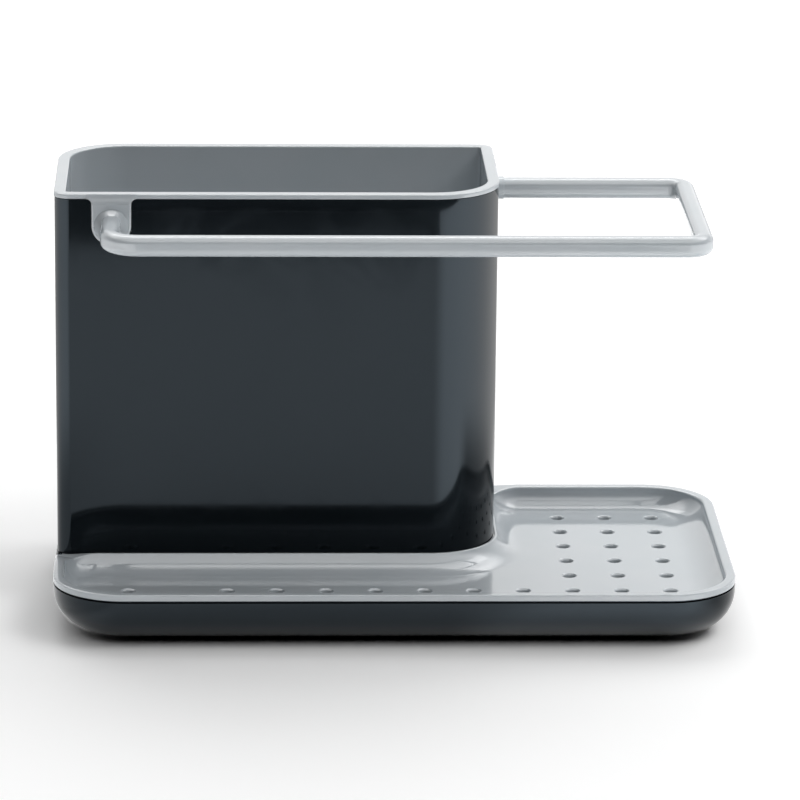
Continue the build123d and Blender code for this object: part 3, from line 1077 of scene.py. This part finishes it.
leftShare = times(
    mapRange(sideways, mirrorLook["leftBeside"], fadeIn),
    mapRange(distance, mirrorLook["leftReach"], fadeOut),
    mapRange(floorX, mirrorLook["leftX"], fadeOut),
)
rightShare = times(
    mapRange(turn, mirrorLook["rightTurn"], fadeIn),
    mapRange(distance, mirrorLook["rightReach"], fadeOut),
    mapRange(floorX, mirrorLook["rightX"], fadeIn),
)
mirrored = crossfade(fanned, mirrorLook["left"], leftShare)
mirrored = crossfade(mirrored, mirrorLook["right"], rightShare)
lightPath = addNode(floorTree, "ShaderNodeLightPath")
direct = addMath("LESS_THAN", lightPath.outputs["Diffuse Depth"], 0.5)  # no stray glints under the base
# painted reflection: only reflections see the floor this much brighter, in a fan around the container
glossy = times(lightPath.outputs["Is Glossy Ray"], minus(times(mirrored, direct), 1))
# painted light: the camera sees the floor brighter the farther it lies from the object
paintedFarLight = mapRange(distance, floorLook["fade"], (floorLook["shown"] - 1, floorLook["far"] - 1))
shown = times(lightPath.outputs["Is Camera Ray"], paintedFarLight)
bounced = times(lightPath.outputs["Is Diffuse Ray"], floorLook["bounce"] - 1)
floorTree.links.new(times(plus(shown, glossy, bounced, 1), floorLook["color"]), floorPaper)

flagLook = {  # a dark sheet in front of the object, which only reflections show: a painted dark reflection
    "left": -0.135,
    "right": 0.125,
    "front": -0.455,
    "depth": 1.0,
    "height": 0.001,
    "color": (0.33, 0.36, 0.38),
}
flagLow = (flagLook["left"], flagLook["front"] - flagLook["depth"])
flagHigh = (flagLook["right"], flagLook["front"])
flag, flagPaper = addSheet("flag", flagLow, flagHigh, flagLook["height"])
flagPaper.default_value = (*flagLook["color"], 1)
flag.visible_camera = False
flag.visible_diffuse = False
flag.visible_shadow = False
flag.visible_transmission = False

lampLooks = {
    "key": {"place": (0.75, -0.3, 1.1), "size": 0.6, "watts": 3.6, "mirrored": False},
    "back": {"place": (-0.1, 0.9, 1.0), "size": 0.8, "watts": 3.4, "mirrored": True},
    "side": {"place": (0.9, 0.35, 1.15), "size": 0.55, "watts": 2.8, "mirrored": True},
}
aim = Vector((0, 0, 0.05))
for lampName, look in lampLooks.items():
    lampData = bpy.data.lights.new(lampName, "AREA")
    lampData.shape = "SQUARE"
    lampData.size = look["size"]
    lampData.energy = look["watts"]
    lamp = addObject(lampName, lampData)
    lamp.location = look["place"]
    lamp.rotation_euler = (aim - Vector(look["place"])).to_track_quat("-Z", "Y").to_euler()
    lamp.visible_glossy = look["mirrored"]

worldLook = {
    "fillBack": 3.1,  # how much soft light comes from each side
    "fillRight": 2.6,
    "fillFront": 3.1,
    "fillHeight": (0.5, 0.75),  # from the right and the front none comes from lower
    "skyBack": 1.42,  # what reflections show above the floor
    "skyFront": 0.03,
    "skyTop": 4.2,
    "skyTurn": (-0.35, 0.3),
    "skyHeight": (0.45, 0.7),
}
world = bpy.data.worlds.new("studio")
bpy.context.scene.world = world
world.use_nodes = True
worldTree = world.node_tree
background = worldTree.nodes["Background"]
background.inputs["Color"].default_value = (1, 1, 1, 1)
lightPath = addNode(worldTree, "ShaderNodeLightPath")
toRight, toBack, upwards = splitAxes(worldTree, "Generated")


def softFrom(axis, sign, strength):
    facing = addMath("MAXIMUM", times(axis, sign), 0.0)
    return times(facing, facing, strength)


fill = plus(softFrom(toRight, 1.0, worldLook["fillRight"]), softFrom(toBack, -1.0, worldLook["fillFront"]))
fill = times(fill, mapRange(upwards, worldLook["fillHeight"], fadeIn))
fill = plus(fill, softFrom(toBack, 1.0, worldLook["fillBack"]))
sky = plus(
    mapRange(toBack, worldLook["skyTurn"], (worldLook["skyFront"], worldLook["skyBack"])),
    mapRange(upwards, worldLook["skyHeight"], (0.0, worldLook["skyTop"])),
)
glossMix = addNode(worldTree, "ShaderNodeMix", {"data_type": "FLOAT"})
worldTree.links.new(lightPath.outputs["Is Glossy Ray"], glossMix.inputs[0])
worldTree.links.new(fill, glossMix.inputs[2])
worldTree.links.new(sky, glossMix.inputs[3])
cameraMix = addNode(worldTree, "ShaderNodeMix", {"data_type": "FLOAT"}, {3: 1.0})
worldTree.links.new(lightPath.outputs["Is Camera Ray"], cameraMix.inputs[0])
worldTree.links.new(glossMix.outputs[0], cameraMix.inputs[2])
worldTree.links.new(cameraMix.outputs[0], background.inputs["Strength"])
bpy.context.scene.view_settings.view_transform = "Standard"

cameraLook = {
    "place": (-0.0515747, -1.4863864, 0.4830920),
    "turn": -0.0362,
    "tip": 0.2763,
    "roll": 0.0106,
    "lens": 228.25,
    "sensor": 36,
}
cameraData = bpy.data.cameras.new("camera")
cameraData.sensor_width = cameraLook["sensor"]
cameraData.lens = cameraLook["lens"]
camera = addObject("camera", cameraData)
camera.matrix_world = (
    Matrix.Translation(cameraLook["place"])
    @ Matrix.Rotation(cameraLook["turn"], 4, "Z")
    @ Matrix.Rotation(math.pi / 2 - cameraLook["tip"], 4, "X")
    @ Matrix.Rotation(cameraLook["roll"], 4, "Z")
)
bpy.context.scene.camera = camera
print("studio made")
